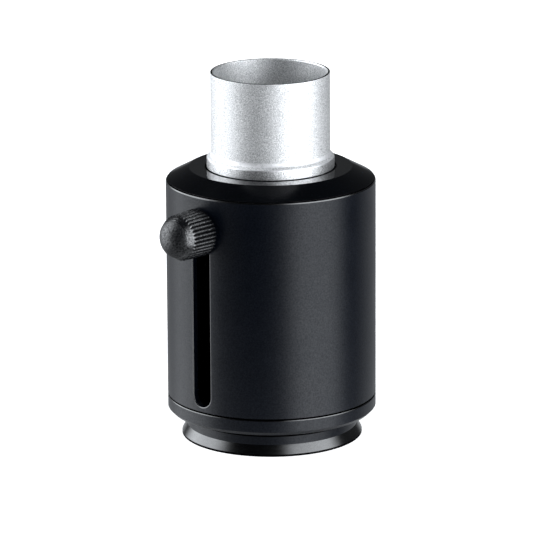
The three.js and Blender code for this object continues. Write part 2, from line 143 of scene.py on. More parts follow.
def knob_place(x, up, s):
    """A point about the knob's axis: x, height above the axis, reach."""
    return Vector((x, AXIS_Y - s, SCREW_Z + up)) * MM


def finish_mesh(name, bm, materials, body, pick=None):
    """Turns a bmesh into a piece that rides on its body and stands for the node of its name."""
    bmesh.ops.recalc_face_normals(bm, faces=bm.faces)
    mesh = bpy.data.meshes.new(name)
    bm.to_mesh(mesh)
    bm.free()
    for material in materials:
        mesh.materials.append(material)
    for polygon in mesh.polygons:
        polygon.use_smooth = True
        if pick:
            polygon.material_index = pick(polygon.center / MM, polygon.normal)
    mesh.set_sharp_from_angle(angle=SHARP_ANGLE)
    piece = bpy.data.objects.new(name, mesh)
    bpy.context.scene.collection.objects.link(piece)
    weighted = piece.modifiers.new("weighted", "WEIGHTED_NORMAL")
    weighted.keep_sharp = True
    weighted.weight = NORMAL_WEIGHT
    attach(piece, body)
    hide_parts(name)


def revolve(profile, closed, place, steps, shape=None):
    """Revolves profile points. shape(point, turn) may return another (radius, s)."""
    bm = bmesh.new()
    edge_layer = bm.verts.layers.float.new("edge")
    rings = []
    for point in profile:
        if point["r"] < 1e-6:
            v = bm.verts.new(place(0, 0, point["s"]))
            v[edge_layer] = point["edge"]
            rings.append([v] * steps)
            continue
        ring = []
        for k in range(steps):
            turn = 2 * math.pi * k / steps
            r, s = shape(point, turn) if shape else (point["r"], point["s"])
            v = bm.verts.new(place(r * math.sin(turn), r * math.cos(turn), s))
            v[edge_layer] = point["edge"]
            ring.append(v)
        rings.append(ring)
    pairs = list(zip(rings, rings[1:]))
    if closed:
        pairs.append((rings[-1], rings[0]))
    for low, high in pairs:
        for k in range(steps):
            n = (k + 1) % steps
            loop = [low[k], low[n], high[n], high[k]]
            corners = [v for i, v in enumerate(loop) if v not in loop[:i]]
            if len(corners) > 2:
                bm.faces.new(corners)
    return bm


def carve(bm, *cutters):
    """Cuts closed bmeshes out of a bmesh with Blender's exact boolean."""
    def as_object(source, name):
        bmesh.ops.recalc_face_normals(source, faces=source.faces)
        mesh = bpy.data.meshes.new(name)
        source.to_mesh(mesh)
        source.free()
        made = bpy.data.objects.new(name, mesh)
        bpy.context.scene.collection.objects.link(made)
        return made

    body = as_object(bm, "carve_body")
    tools = [as_object(cutter, "carve_tool") for cutter in cutters]
    for tool in tools:
        modifier = body.modifiers.new("cut", "BOOLEAN")
        modifier.operation = "DIFFERENCE"
        modifier.solver = "EXACT"
        modifier.object = tool
    depsgraph = bpy.context.evaluated_depsgraph_get()
    result = bmesh.new()
    result.from_mesh(body.evaluated_get(depsgraph).to_mesh())
    for made in [body, *tools]:
        mesh = made.data
        bpy.data.objects.remove(made)
        bpy.data.meshes.remove(mesh)
    return result


SPANNER_BAR = (50, 1.4, 1.4)


def bar(centre, size):
    """A plain bar for cutting, in millimetres about the optical axis: x, y and z."""
    bm = bmesh.new()
    bmesh.ops.create_cube(bm, size=1.0)
    at = Vector((centre[0], AXIS_Y + centre[1], centre[2])) * MM
    bm.transform(Matrix.Translation(at) @ Matrix.Diagonal((*[s * MM for s in size], 1.0)))
    return bm


def spanner_bar(z):
    """A bar that cuts two opposite spanner slots into an end face at height z."""
    return bar((0, 0, z), SPANNER_BAR)


def pin_cutter(radius, start, end):
    """A round bar for cutting along the knob's axis, from one reach to another."""
    profile = [corner(0, start), corner(radius, start), corner(radius, end), corner(0, end)]
    return revolve(rounded(profile, False), False, knob_place, PIN_STEPS)


def turned(name, corners, materials, body, pick=None, cutters=(), closed=True,
           steps=TUBE_STEPS):
    """A piece turned about the optical axis."""
    bm = revolve(rounded(corners, closed), closed, tube_place, steps)
    if cutters:
        bm = carve(bm, *cutters)
    finish_mesh(name, bm, materials, body, pick)


# ------------------------------
# Materials

# Features per millimetre of the patterns that surfaces share. LATHE_TURN is how many metres of
# pattern a lathe line crosses in a radian.
BLOTCHES_PER_MM = 0.12
WEAR_PER_MM = 0.9
LATHE_LINES_PER_MM = 7.0
LATHE_TURN = 0.0004
DUST_PER_MM = 1.6


class Nodes:
    """A short way to add nodes to a material's or the world's tree and link them."""

    def __init__(self, owner):
        owner.use_nodes = True
        self.tree = owner.node_tree
        self.tree.nodes.clear()

    def add(self, kind, inputs=None, **settings):
        node = self.tree.nodes.new(kind)
        for key, value in settings.items():
            setattr(node, key, value)
        for key, value in (inputs or {}).items():
            if isinstance(value, bpy.types.NodeSocket):
                self.tree.links.new(value, node.inputs[key])
            else:
                node.inputs[key].default_value = value
        return node

    def math(self, operation, a, b=0.0, clamp=False):
        return self.add("ShaderNodeMath", {0: a, 1: b}, operation=operation,
                        use_clamp=clamp).outputs[0]

    def ramp(self, value, low, high, out_low=0.0, out_high=1.0, smooth=False):
        node = self.add("ShaderNodeMapRange", {0: value, 1: low, 2: high, 3: out_low, 4: out_high})
        node.interpolation_type = "SMOOTHSTEP" if smooth else "LINEAR"
        return node.outputs[0]

    def mix(self, share, a, b):
        node = self.add("ShaderNodeMix", {"Factor": share}, data_type="RGBA")
        for socket, value in (("A", a), ("B", b)):
            target = [s for s in node.inputs if s.name == socket and s.type == "RGBA"][0]
            if isinstance(value, bpy.types.NodeSocket):
                self.tree.links.new(value, target)
            else:
                target.default_value = (*value, 1.0)
        return [s for s in node.outputs if s.type == "RGBA"][0]

    def noise(self, vector, per_mm, detail=2.0, rough=0.5):
        """Noise from about 0 to 1 with the given number of features per millimetre."""
        node = self.add("ShaderNodeTexNoise",
                        {"Vector": vector, "Scale": per_mm / MM, "Detail": detail,
                         "Roughness": rough})
        return node.outputs[0]

    def turning_vector(self):
        """Coordinates that stretch noise round the optical axis, for lathe marks."""
        coords = self.add("ShaderNodeTexCoord").outputs["Object"]
        parts = self.add("ShaderNodeSeparateXYZ", {0: coords})
        x = parts.outputs[0]
        y = self.math("SUBTRACT", parts.outputs[1], AXIS_Y * MM)
        squares = self.math("ADD", self.math("MULTIPLY", x, x), self.math("MULTIPLY", y, y))
        radius = self.math("SQRT", squares)
        angle = self.math("ARCTAN2", x, y)
        around = self.math("MULTIPLY", angle, LATHE_TURN)
        stretched = self.add("ShaderNodeCombineXYZ", {0: radius, 1: around, 2: parts.outputs[2]})
        return stretched.outputs[0]


def surface(name, dark, light, roughness, metallic=0.0, ior=1.5, grain=2.6, grain_bump=0.004,
            grain_colour=0.5, rough_spread=0.03, edge_colour=None, lathe=0.0, blotch=0.25,
            sheen=0.0, glint=0.0, edge_on=1.0):
    """A machined or moulded surface.

    Colour runs from dark to light with fine grain and slow blotches, and fillets wear to
    edge_colour. grain is in features per millimetre. lathe and grain_bump are the depths of
    turning marks and grain in millimetres, and glint is how far the grain changes what the
    edge_on is how bright a metal stays where it is seen almost edge on; below 1 it darkens the
    silhouettes as painted shade.
    """
    material = bpy.data.materials.new(name)
    n = Nodes(material)
    coords = n.add("ShaderNodeTexCoord").outputs["Object"]
    fine = n.noise(coords, grain, detail=2.0, rough=0.55)
    slow = n.noise(coords, BLOTCHES_PER_MM, detail=3.0, rough=0.55)
    share = n.math("ADD", n.ramp(fine, 0.32, 0.68, out_high=grain_colour),
                   n.ramp(slow, 0.3, 0.7, out_high=blotch), clamp=True)
    colour = n.mix(share, dark, light)
    rough = n.ramp(slow, 0.25, 0.75, roughness - rough_spread, roughness + rough_spread)
    if edge_colour:
        edge = n.add("ShaderNodeAttribute", attribute_name="edge").outputs["Fac"]
        wear = n.noise(coords, WEAR_PER_MM, detail=3.0, rough=0.6)
        patchy = n.ramp(wear, 0.3, 0.62, out_low=0.35)
        worn = n.math("MULTIPLY", edge, patchy, clamp=True)
        colour = n.mix(worn, colour, edge_colour)
        rough = n.math("SUBTRACT", rough, n.math("MULTIPLY", worn, 0.05), clamp=True)
    normal = n.add("ShaderNodeBump", {"Strength": 1.0, "Distance": grain_bump * MM,
                                      "Height": fine}).outputs[0]
    if lathe:
        lines = n.noise(n.turning_vector(), LATHE_LINES_PER_MM, detail=2.0, rough=0.6)
        normal = n.add("ShaderNodeBump", {"Strength": 1.0, "Distance": lathe * MM, "Height": lines,
                                          "Normal": normal}).outputs[0]
        rough = n.math("ADD", rough, n.ramp(lines, 0.3, 0.7, -0.04, 0.04), clamp=True)
    shader = n.add("ShaderNodeBsdfPrincipled", {
        "Base Color": colour, "Roughness": rough, "Metallic": metallic, "IOR": ior,
        "Normal": normal, "Sheen Weight": sheen, "Specular Tint": (edge_on, edge_on, edge_on, 1.0),
        "Specular IOR Level": n.ramp(fine, 0.3, 0.7, 0.5 - glint, 0.5 + glint),
    })
    n.add("ShaderNodeOutputMaterial", {"Surface": shader.outputs[0]})
    return material


def glass(name, tint):
    """Polished lens glass with faint dust and a thin coat colour at grazing angles."""
    material = bpy.data.materials.new(name)
    n = Nodes(material)
    coords = n.add("ShaderNodeTexCoord").outputs["Object"]
    dust = n.ramp(n.noise(coords, DUST_PER_MM, detail=4.0, rough=0.6), 0.62, 0.8, out_high=0.12)
    facing = n.add("ShaderNodeLayerWeight", {"Blend": 0.35}).outputs["Facing"]
    colour = n.mix(facing, tint, (0.62, 0.7, 0.95))
    rough = n.math("ADD", dust, 0.015)
    shader = n.add("ShaderNodeBsdfPrincipled", {
        "Base Color": colour, "Roughness": rough, "IOR": 1.52, "Transmission Weight": 1.0,
    })
    n.add("ShaderNodeOutputMaterial", {"Surface": shader.outputs[0]})
    return material


def satin_anodise(name, ior):
    """Satin black anodising. A lower ior mirrors less."""
    return surface(name, (0.0010, 0.0020, 0.0046), (0.0022, 0.0038, 0.0080), 0.31, ior=ior,
                   glint=0.14, edge_colour=(0.006, 0.0066, 0.008))


def blasted(name, dark, light, roughness, grain_bump, **look):
    """Bead-blasted silver, with a bright grain and hardly any blotches."""
    return surface(name, dark, light, roughness, metallic=1.0, grain=3.8, grain_bump=grain_bump,
                   grain_colour=1.0, blotch=0.05, rough_spread=0.01, **look)


satin_black = satin_anodise("satin_black_anodise", 1.315)
bevel_black = surface("gloss_black_bevel", (0.0003, 0.0006, 0.0012), (0.0008, 0.0013, 0.0024),
                      0.13, ior=1.28, grain_bump=0.001, glint=0.1,
                      edge_colour=(0.01, 0.0106, 0.012))
face_black = surface("polished_black_face", (0.0006, 0.0010, 0.0018), (0.0014, 0.0020, 0.0034),
                     0.05, ior=2.5, grain_bump=0.0005, glint=0.1,
                     edge_colour=(0.01, 0.0106, 0.012))
cone_black = surface("turned_black_anodise", (0.0003, 0.0004, 0.0007), (0.0009, 0.0011, 0.0016),
                     0.19, ior=1.85, grain_bump=0.001, glint=0.05, lathe=0.002,
                     edge_colour=(0.004, 0.0042, 0.005))
# A copy of the satin anodising that mirrors less: painted shade on the neck under the base ring.
neck_shaded_black = satin_anodise("satin_black_neck_shaded", 1.265)
# Dull black for bores and hidden faces, also used on the foot rim's side as painted contact shade.
bore_black_and_rim_shade = surface("dull_black_bore_and_rim_shade", (0.0008, 0.0008, 0.0009), (0.0025, 0.0025, 0.0028), 0.8,
                       ior=1.03, grain_bump=0.02, lathe=0.006)
# Painted shade: a black that reflects nothing, laid in seams, gaps and grooves where shade falls.
painted_shade_black = surface("painted_seam_shade_black", (0.0003, 0.0003, 0.0004), (0.0012, 0.0012, 0.0014), 0.9,
                     ior=1.0, grain_bump=0.02)
# The blasted silvers darken where they are seen edge on, as painted shade at their silhouettes.
blasted_silver = blasted("blasted_silver", (0.42, 0.424, 0.428), (1.0, 1.0, 1.0), 0.62, 0.07,
                         edge_colour=(0.9, 0.9, 0.91), edge_on=0.12)
fine_silver = blasted("fine_blasted_silver", (0.3, 0.303, 0.306), (0.98, 0.98, 0.98), 0.42, 0.06,
                      edge_colour=(0.8, 0.8, 0.81), edge_on=0.12)
bore_silver = blasted("blasted_silver_bore", (0.46, 0.465, 0.468), (1.0, 1.0, 1.0), 0.46, 0.06)
turned_silver = surface("turned_silver", (0.11, 0.112, 0.115), (0.20, 0.202, 0.206), 0.2,
                        metallic=1.0, grain_bump=0.003, lathe=0.002)
moulded_black = surface("moulded_black", (0.0008, 0.0011, 0.0018), (0.0024, 0.0029, 0.0040), 0.22,
                        ior=1.8, grain=2.4, grain_bump=0.036, glint=0.35,
                        edge_colour=(0.012, 0.0126, 0.014))
dome_black = surface("moulded_black_dome", (0.0010, 0.0014, 0.0022), (0.0030, 0.0036, 0.0050), 0.4,
                     ior=1.62, grain=2.4, grain_bump=0.05, glint=0.4)
# Darker, duller black for the knurl's groove bottoms: painted shade in the grooves.
groove_shade_black = surface("moulded_black_groove_shade", (0.0003, 0.0004, 0.0006), (0.0010, 0.0012, 0.0016),
                       0.6, ior=1.25, grain=2.4, grain_bump=0.03)
steel = surface("turned_steel", (0.30, 0.31, 0.33), (0.5, 0.51, 0.53), 0.32, metallic=1.0,
                lathe=0.008, edge_colour=(0.7, 0.7, 0.72))
brass = surface("turned_brass", (0.42, 0.27, 0.08), (0.66, 0.47, 0.18), 0.33, metallic=1.0,
                lathe=0.008, edge_colour=(0.8, 0.62, 0.3))
acetal = surface("black_acetal", (0.0008, 0.0009, 0.0012), (0.0030, 0.0032, 0.0038), 0.6, ior=1.06,
                 grain_bump=0.01, lathe=0.006, edge_colour=(0.004, 0.0041, 0.0045))
ptfe = surface("ptfe_band", (0.7, 0.7, 0.67), (0.87, 0.87, 0.85), 0.55, grain_bump=0.01,
               edge_colour=(0.9, 0.9, 0.88))
nylon = surface("moulded_nylon", (0.5, 0.47, 0.38), (0.72, 0.69, 0.59), 0.5, grain_bump=0.015,
                edge_colour=(0.78, 0.75, 0.66))
rubber = surface("soft_rubber", (0.006, 0.006, 0.006), (0.02, 0.02, 0.02), 0.8, grain_bump=0.02,
                 sheen=0.2)
crown_glass = glass("crown_glass", (0.95, 0.97, 0.97))
flint_glass = glass("flint_glass", (0.97, 0.965, 0.94))

# ------------------------------
# Housing

BORE_R = 26.0
BARREL_SPIGOT_R = 26.6
barrel_r = radius_mm("barrel")
foot_r = radius_mm("dovetail_flange")
foot_top = box_mm("dovetail_flange")[1].z
ring_low, ring_high = box_mm("base_ring")
cap_low, cap_high = box_mm("top_cap")

# The dovetail foot, with a relief groove at the top of its neck. From the groove up it takes
# painted shade, a black that reflects nothing.

DOVETAIL_ANGLE = math.radians(60)
CONE_LOW, CONE_HIGH = 0.6, 2.92
NECK_R = foot_r - (CONE_HIGH - CONE_LOW) / math.tan(DOVETAIL_ANGLE)
RELIEF_Z, RELIEF_DEPTH, RELIEF_CHAMFER = 5.15, 0.3, 0.1
FOOT_SPIGOT_R = 20.9
FOOT_WALL_R = 20.0
FOOT_BORE_R = 19.2
FOOT_LIP_R, FOOT_LIP_Z = 17.6, 1.2


def foot_pick(centre, normal):
    """Turned on the cone, satin dimmed as painted shade on the neck, painted shade from its groove
    up, dull inside, and dull black on the rim's side below as painted contact shade.
    """
    radius = off_axis(centre)
    if radius > NECK_R - EDGE_MARGIN and CONE_LOW < centre.z < CONE_HIGH:
        return 0
    if radius > FOOT_WALL_R and centre.z > RELIEF_Z + RELIEF_CHAMFER / 2:
        return 3
    # Below the cone the rim's side takes the dull black as painted contact shade.
    return 1 if radius < FOOT_WALL_R or centre.z < CONE_LOW else 2


turned("dovetail_flange", [
    corner(FOOT_LIP_R, 0.0, 0.15), corner(foot_r, 0.0, 0.12), corner(foot_r, CONE_LOW, 0.06),
    corner(NECK_R, CONE_HIGH, 0.05), corner(NECK_R, RELIEF_Z),
    corner(NECK_R - RELIEF_DEPTH, RELIEF_Z + RELIEF_CHAMFER),
    corner(NECK_R - RELIEF_DEPTH, ring_low.z), corner(FOOT_SPIGOT_R, ring_low.z),
    corner(FOOT_SPIGOT_R, foot_top, 0.1), corner(FOOT_BORE_R, foot_top, 0.1),
    corner(FOOT_BORE_R, FOOT_LIP_Z), corner(FOOT_LIP_R, FOOT_LIP_Z, 0.1),
], [cone_black, bore_black_and_rim_shade, neck_shaded_black, painted_shade_black], "housing",
    pick=foot_pick)

# The base ring, and the seam under the barrel: a bright chamfer with a gap above it, filled with
# painted shade.

RING_BORE_R = FOOT_SPIGOT_R + SCREWED_GAP
RING_POCKET_R = BARREL_SPIGOT_R + SCREWED_GAP
RING_FLOOR_Z = 9.5
RING_CHAMFER = 1.0
SEAM_GAP, SEAM_DEPTH = 0.2, 0.9
SEAM_CHAMFER, SEAM_RISE = 0.13, 0.24
seam_low = ring_high.z - SEAM_GAP


def ring_pick(centre, normal):
    """Satin, but painted shade in the seam's gap and turned on the seam's chamfer."""
    if centre.z < seam_low - SEAM_RISE + EDGE_MARGIN:
        return 0
    return 1 if off_axis(centre) < barrel_r - SEAM_CHAMFER + EDGE_MARGIN else 2


turned("base_ring", [
    corner(RING_BORE_R, ring_low.z, 0.1), corner(barrel_r - RING_CHAMFER, ring_low.z, 0.08),
    corner(barrel_r, ring_low.z + RING_CHAMFER, 0.1), corner(barrel_r, seam_low - SEAM_RISE, 0.04),
    corner(barrel_r - SEAM_CHAMFER, seam_low, 0.04), corner(barrel_r - SEAM_DEPTH, seam_low),
    corner(barrel_r - SEAM_DEPTH, ring_high.z), corner(RING_POCKET_R, ring_high.z, 0.1),
    corner(RING_POCKET_R, RING_FLOOR_Z), corner(RING_BORE_R, RING_FLOOR_Z, 0.1),
], [satin_black, painted_shade_black, cone_black], "housing", pick=ring_pick)

# The cap: a shallow cone with a flat ring round its hole, and a chamfer down to the bush that
# carries painted shade.

CAP_SPIGOT_R = BORE_R - SCREWED_GAP
CAP_EDGE_R, CAP_EDGE_TOP = 27.6, 70.58
CAP_FACE_R = 21.8
CAP_BORE_R, CAP_BORE_EDGE, CAP_BORE_CHAMFER = 17.35, 17.58, 0.22
CAP_POCKET_R, CAP_POCKET_TOP = 18.65, 72.5
FLAT = 0.99


def cap_pick(centre, normal):
    """Glossy on the cone, polished on the flat ring, painted shade on the chamfer beside the bush,
    dull below.
    """
    if centre.z < CAP_EDGE_TOP - EDGE_MARGIN:
        return 1
    if off_axis(centre) < CAP_BORE_EDGE:
        return 3
    return 2 if normal.z > FLAT else 0


turned("top_cap", [
    corner(CAP_POCKET_R, cap_low.z, 0.1), corner(CAP_SPIGOT_R, cap_low.z, 0.2),
    corner(CAP_SPIGOT_R, barrel_high.z), corner(CAP_EDGE_R, barrel_high.z, 0.03),
    corner(CAP_EDGE_R, CAP_EDGE_TOP, 0.03), corner(CAP_FACE_R, cap_high.z, 0.12),
    corner(CAP_BORE_EDGE, cap_high.z, 0.03), corner(CAP_BORE_R, cap_high.z - CAP_BORE_CHAMFER),
    corner(CAP_BORE_R, CAP_POCKET_TOP), corner(CAP_POCKET_R, CAP_POCKET_TOP),
], [bevel_black, bore_black_and_rim_shade, face_black, painted_shade_black], "housing",
    pick=cap_pick)

# The bush in the cap's pocket, whose lip shows round the silver tube.

COLLAR_R = radius_mm("nose_tube")
BUSH_BORE_R = COLLAR_R + SLIDE_CLEARANCE
BUSH_R = CAP_POCKET_R - SCREWED_GAP
BUSH_LIP_R = CAP_BORE_R - SCREWED_GAP
BUSH_SHOULDER = CAP_POCKET_TOP - SCREWED_GAP
bush_low, bush_high = box_mm("cap_guide_bush")
turned("cap_guide_bush", [
    corner(BUSH_BORE_R, bush_low.z, 0.2), corner(BUSH_R, bush_low.z, 0.1),
    corner(BUSH_R, BUSH_SHOULDER, 0.1), corner(BUSH_LIP_R, BUSH_SHOULDER),
    corner(BUSH_LIP_R, bush_high.z, 0.03), corner(BUSH_BORE_R, bush_high.z, 0.03),
], [acetal], "housing")

# The barrel, with the long round-ended slot.

SLOT_HALF = 3.0
SLOT_LOW_Z = 15.9
SLOT_FILLET, SLOT_FILLET_STEPS = 0.26, 4
SLOT_COLUMNS = 28
SLOT_GLOSS_REACH = SLOT_HALF + 0.4
WALL_STEPS = TUBE_STEPS - 16
WALL_MIDDLE_Z = 40.0
SEAM_LIP = 0.3
TOP_GAP, TOP_BEVEL_START, TOP_BEVEL_DEPTH, TOP_GLOSS_START = 0.05, 0.38, 0.15, 0.3

# How near the bore, the slot's fillet and the wall a face still counts as on them.
BORE_MARGIN, FILLET_MARGIN, WALL_MARGIN = 0.08, 0.01, 0.004


def slotted_barrel():
    """The barrel's wall with the slot, whose edge is rounded outside and chamfered inside."""
    bottom, shoulder, top = barrel_low.z, ring_high.z, barrel_high.z - TOP_GAP
    outer_half = SLOT_HALF + SLOT_FILLET
    bm = bmesh.new()
    edge_layer = bm.verts.layers.float.new("edge")

    def vert(r, x, z, edge=0.0):
        """A vertex on the slot's side of the wall, at x from its middle."""
        v = bm.verts.new(tube_place(x, math.sqrt(r * r - x * x), z))
        v[edge_layer] = edge
        return v

    def wall_turns(r):
        """The turns of the wall's columns, from one side of the slot round to the other."""
        limit = math.asin(outer_half / r)
        return [limit + (2 * math.pi - 2 * limit) * k / WALL_STEPS for k in range(1, WALL_STEPS)]

    def wall_vert(r, turn, z, edge=0.0):
        v = bm.verts.new(tube_place(r * math.sin(turn), r * math.cos(turn), z))
        v[edge_layer] = edge
        return v

    def column_x(half, k):
        return -half * math.cos(math.pi * k / SLOT_COLUMNS)

    def ring(point):
        """Vertices once round: across the slot's width first, then round the back."""
        r, z, edge = point["r"], point["s"], point["edge"]
        across = [vert(r, column_x(outer_half, k), z, edge) for k in range(SLOT_COLUMNS + 1)]
        return across + [wall_vert(r, turn, z, edge) for turn in wall_turns(r)]

    def mouth(r, half, edge=0.0):
        """The slot's outline on one cylinder: columns of its lower and upper arcs."""
        low, high = [], []
        for k in range(SLOT_COLUMNS + 1):
            x = column_x(half, k)
            rise = math.sqrt(max(half ** 2 - x * x, 0.0))
            low.append(vert(r, x, SLOT_LOW_Z - rise, edge))
            high.append(vert(r, x, SCREW_Z + rise, edge))
        return low, high

    def strip(low, high):
        """Faces between two rows of vertices."""
        for a, b, c, d in zip(low, low[1:], high[1:], high):
            bm.faces.new([a, b, c, d])

    def skin(r, outline, below, above):
        """One cylinder between the profile's ends, with the slot left open."""
        low, high = outline
        turns = wall_turns(r)
        row_low = [low[-1]] + [wall_vert(r, turn, SLOT_LOW_Z) for turn in turns] + [low[0]]
        row_high = [high[-1]] + [wall_vert(r, turn, SCREW_Z) for turn in turns] + [high[0]]
        strip(below[:SLOT_COLUMNS + 1], low)
        strip(high, above[:SLOT_COLUMNS + 1])
        strip(below[SLOT_COLUMNS:] + [below[0]], row_low)
        strip(row_low, row_high)
        strip(row_high, above[SLOT_COLUMNS:] + [above[0]])

    profile_low = rounded([
        corner(BORE_R, WALL_MIDDLE_Z), corner(BORE_R, bottom, 0.15),
        corner(BARREL_SPIGOT_R, bottom, 0.15), corner(BARREL_SPIGOT_R, shoulder),
        corner(barrel_r - SEAM_LIP, shoulder, 0.03), corner(barrel_r, shoulder + SEAM_LIP, 0.04),
        corner(barrel_r, WALL_MIDDLE_Z)], False)[1:-1]
    profile_high = rounded([
        corner(barrel_r, WALL_MIDDLE_Z), corner(barrel_r, barrel_high.z - TOP_BEVEL_START, 0.12),
        corner(barrel_r - TOP_BEVEL_DEPTH, top, 0.06), corner(BORE_R, top, 0.15),
        corner(BORE_R, WALL_MIDDLE_Z)], False)[1:-1]
    low_rings = [ring(point) for point in profile_low]
    high_rings = [ring(point) for point in profile_high]
    for rings in (low_rings, high_rings):
        for low, high in zip(rings, rings[1:]):
            strip(low + low[:1], high + high[:1])

    outlines = [mouth(barrel_r, outer_half)]
    for k in range(1, SLOT_FILLET_STEPS + 1):
        turn = math.pi / 2 * k / SLOT_FILLET_STEPS
        sunk, drawn_in = SLOT_FILLET * (1 - math.cos(turn)), SLOT_FILLET * math.sin(turn)
        edge = 1.0 if k < SLOT_FILLET_STEPS else 0.0
        outlines.append(mouth(barrel_r - sunk, outer_half - drawn_in, edge))
    outlines += [mouth(BORE_R + SLOT_FILLET, SLOT_HALF), mouth(BORE_R, outer_half)]
    skin(barrel_r, outlines[0], low_rings[-1], high_rings[0])
    skin(BORE_R, outlines[-1], low_rings[0], high_rings[-1])
    for (low_a, high_a), (low_b, high_b) in zip(outlines, outlines[1:]):
        strip(low_a, low_b)
        strip(high_a, high_b)
        for side in (0, SLOT_COLUMNS):
            bm.faces.new([low_a[side], high_a[side], high_b[side], low_b[side]])
    return bm


def barrel_pick(centre, normal):
    """Dull in the bore, painted shade at the seam, glossy on the top edge and round the slot's
    mouth.
    """
    radius = off_axis(centre)
    if radius < BORE_R + BORE_MARGIN:
        return 1
    if centre.z < ring_high.z + SEAM_LIP - EDGE_MARGIN:
        return 3
    on_fillet = barrel_r - SLOT_FILLET - FILLET_MARGIN < radius < barrel_r - WALL_MARGIN
    above_slot_end = centre.z > SLOT_LOW_Z - SLOT_GLOSS_REACH
    at_slot = centre.y < AXIS_Y and abs(centre.x) < SLOT_GLOSS_REACH and above_slot_end
    on_top_edge = centre.z > barrel_high.z - TOP_GLOSS_START
    return 2 if on_fillet and at_slot or on_top_edge else 0


finish_mesh("barrel", slotted_barrel(), [satin_black, bore_black_and_rim_shade, cone_black, painted_shade_black],
            "housing", barrel_pick)

# ------------------------------
# Lens group

LENS_R = 15.0
LENS_GAP = 0.05
LENS_ARC_STEPS = 16
LENS_EDGE_FILLET = 0.15
CROWN_CURVE, CEMENTED_CURVE, FLINT_CURVE = 80.0, 60.0, 300.0
CELL_LIP_R, CELL_LIP_TOP = 14.2, 2.3
RETAINER_BORE_R = 13.4
CUSHION_R, CUSHION_CORD_R, CUSHION_CORD_STEPS = 14.62, 0.35, 16

cell_r = radius_mm("lens_cell")
cell_low, cell_high = box_mm("lens_cell")
turned("lens_cell", [
    corner(CELL_LIP_R, cell_low.z, 0.2), corner(cell_r, cell_low.z, 0.1),
    corner(cell_r, cell_high.z, 0.2), corner(LENS_R + SCREWED_GAP, cell_high.z, 0.2),
    corner(LENS_R + SCREWED_GAP, CELL_LIP_TOP), corner(CELL_LIP_R, CELL_LIP_TOP, 0.1),
], [bore_black_and_rim_shade], "housing", steps=INNER_STEPS,
    cutters=[spanner_bar(cell_high.z)])


def sag(curve, r):
    """Depth of a spherical surface at a distance from its middle."""
    return curve - math.sqrt(curve * curve - r * r)


def lens_corners(lower_curve, lower_z, lower_sign, upper_curve, upper_z):
    """A lens outline. The lower surface rises to its edge when lower_sign is 1."""
    radii = [LENS_R * k / LENS_ARC_STEPS for k in range(LENS_ARC_STEPS + 1)]
    lower = [corner(r, lower_z + lower_sign * sag(lower_curve, r)) for r in radii]
    upper = [corner(r, upper_z - sag(upper_curve, r)) for r in reversed(radii)]
    lower[-1]["round"] = upper[0]["round"] = LENS_EDGE_FILLET
    return lower + upper


crown_low, crown_high = box_mm("crown_lens")
turned("crown_lens",
       lens_corners(CROWN_CURVE, crown_low.z, 1, CEMENTED_CURVE, crown_high.z),
       [crown_glass], "housing", closed=False, steps=LENS_STEPS)

flint_high = box_mm("flint_lens")[1]
turned("flint_lens",
       lens_corners(CEMENTED_CURVE, crown_high.z + LENS_GAP, -1, FLINT_CURVE, flint_high.z),
       [flint_glass], "housing", closed=False, steps=LENS_STEPS)

retainer_low, retainer_high = box_mm("lens_retaining_ring")
turned("lens_retaining_ring", [
    corner(RETAINER_BORE_R, retainer_low.z, 0.1), corner(LENS_R, retainer_low.z, 0.1),
    corner(LENS_R, retainer_high.z, 0.15), corner(RETAINER_BORE_R, retainer_high.z, 0.3),
], [bore_black_and_rim_shade], "housing", steps=INNER_STEPS,
    cutters=[spanner_bar(retainer_high.z)])

cushion_low, cushion_high = box_mm("lens_cushion_ring")
cushion_z = (cushion_low.z + cushion_high.z) / 2
cushion_turns = [math.tau * k / CUSHION_CORD_STEPS for k in range(CUSHION_CORD_STEPS)]
cushion = [corner(CUSHION_R + CUSHION_CORD_R * math.cos(turn),
                  cushion_z + CUSHION_CORD_R * math.sin(turn)) for turn in cushion_turns]
turned("lens_cushion_ring", cushion, [rubber], "housing", steps=CUSHION_STEPS)

# ------------------------------
# Sliding tube

NOSE_R = 15.875
NOSE_BORE_R = 15.07
NOSE_RIM_R = 15.34
NOSE_OUTER_CHAMFER, NOSE_INNER_CHAMFER = 0.07, 0.3
COLLAR_TOP = 76.3
TUBE_SPIGOT_R = 15.9
nose_low, nose_high = box_mm("nose_tube")
carriage_r = radius_mm("slide_carriage")
carriage_low, carriage_high = box_mm("slide_carriage")
lock_r = radius_mm("carriage_lock_ring")
lock_low, lock_high = box_mm("carriage_lock_ring")

# How deep the looks of the rim, its inner edge and the collar reach.
RIM_DEPTH, RIM_MARGIN, COLLAR_DEPTH = 0.06, 0.04, 0.12


def nose_pick(centre, normal):
    """Turned on the rim, and blasted in three finishes on the nose, the collar and the bore."""
    radius = off_axis(centre)
    if centre.z > nose_high.z - RIM_DEPTH and radius > NOSE_RIM_R:
        return 1
    if radius < NOSE_RIM_R - RIM_MARGIN:
        return 3
    return 2 if radius > COLLAR_R - COLLAR_DEPTH else 0


